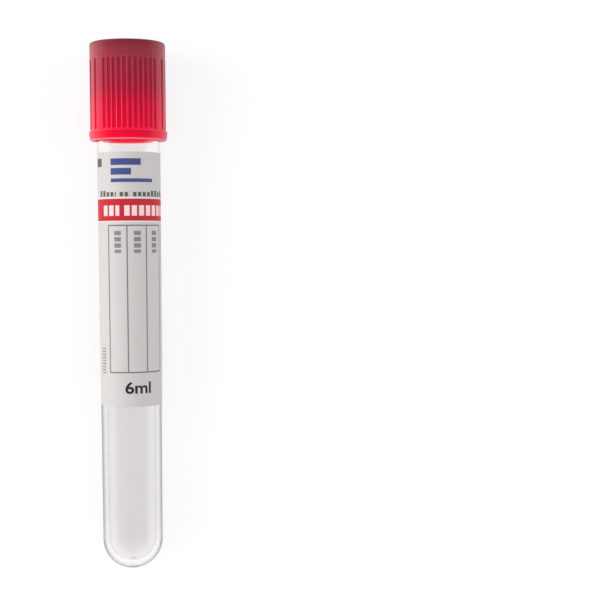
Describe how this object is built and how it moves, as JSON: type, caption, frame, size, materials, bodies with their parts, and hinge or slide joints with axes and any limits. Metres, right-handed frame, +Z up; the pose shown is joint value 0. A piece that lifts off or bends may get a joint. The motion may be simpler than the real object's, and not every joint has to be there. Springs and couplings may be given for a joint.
{
  "type": "blood collection tube",
  "caption": "Clear round-ended blood collection tube lying on its side, with a fluted red cap over a rubber stopper and a paper label with a write-in grid.",
  "frame": {"origin": "on the surface that the tube lies on, under the middle of its bounding box", "axes": "+Z up; +Y from the round end towards the cap; +X to the right of the label as it is read"},
  "size_m": [0.016, 0.1086, 0.0162],
  "materials": {
    "clear_plastic": "clear polished moulding",
    "red_plastic": "fine satin moulding",
    "stopper_rubber": "smooth matt rubber",
    "label_paper": "coated label paper with red and black print"
  },
  "bodies": {
    "tube": {"tube": "clear_plastic", "label": "label_paper"},
    "closure": {"cap": "red_plastic", "stopper": "stopper_rubber"}
  },
  "joints": [
    {"name": "closure_pull", "type": "slide", "parent": "tube", "child": "closure", "axis": [0, 0.9997, 0.0226], "range_m": [0, 0.03]}
  ]
}
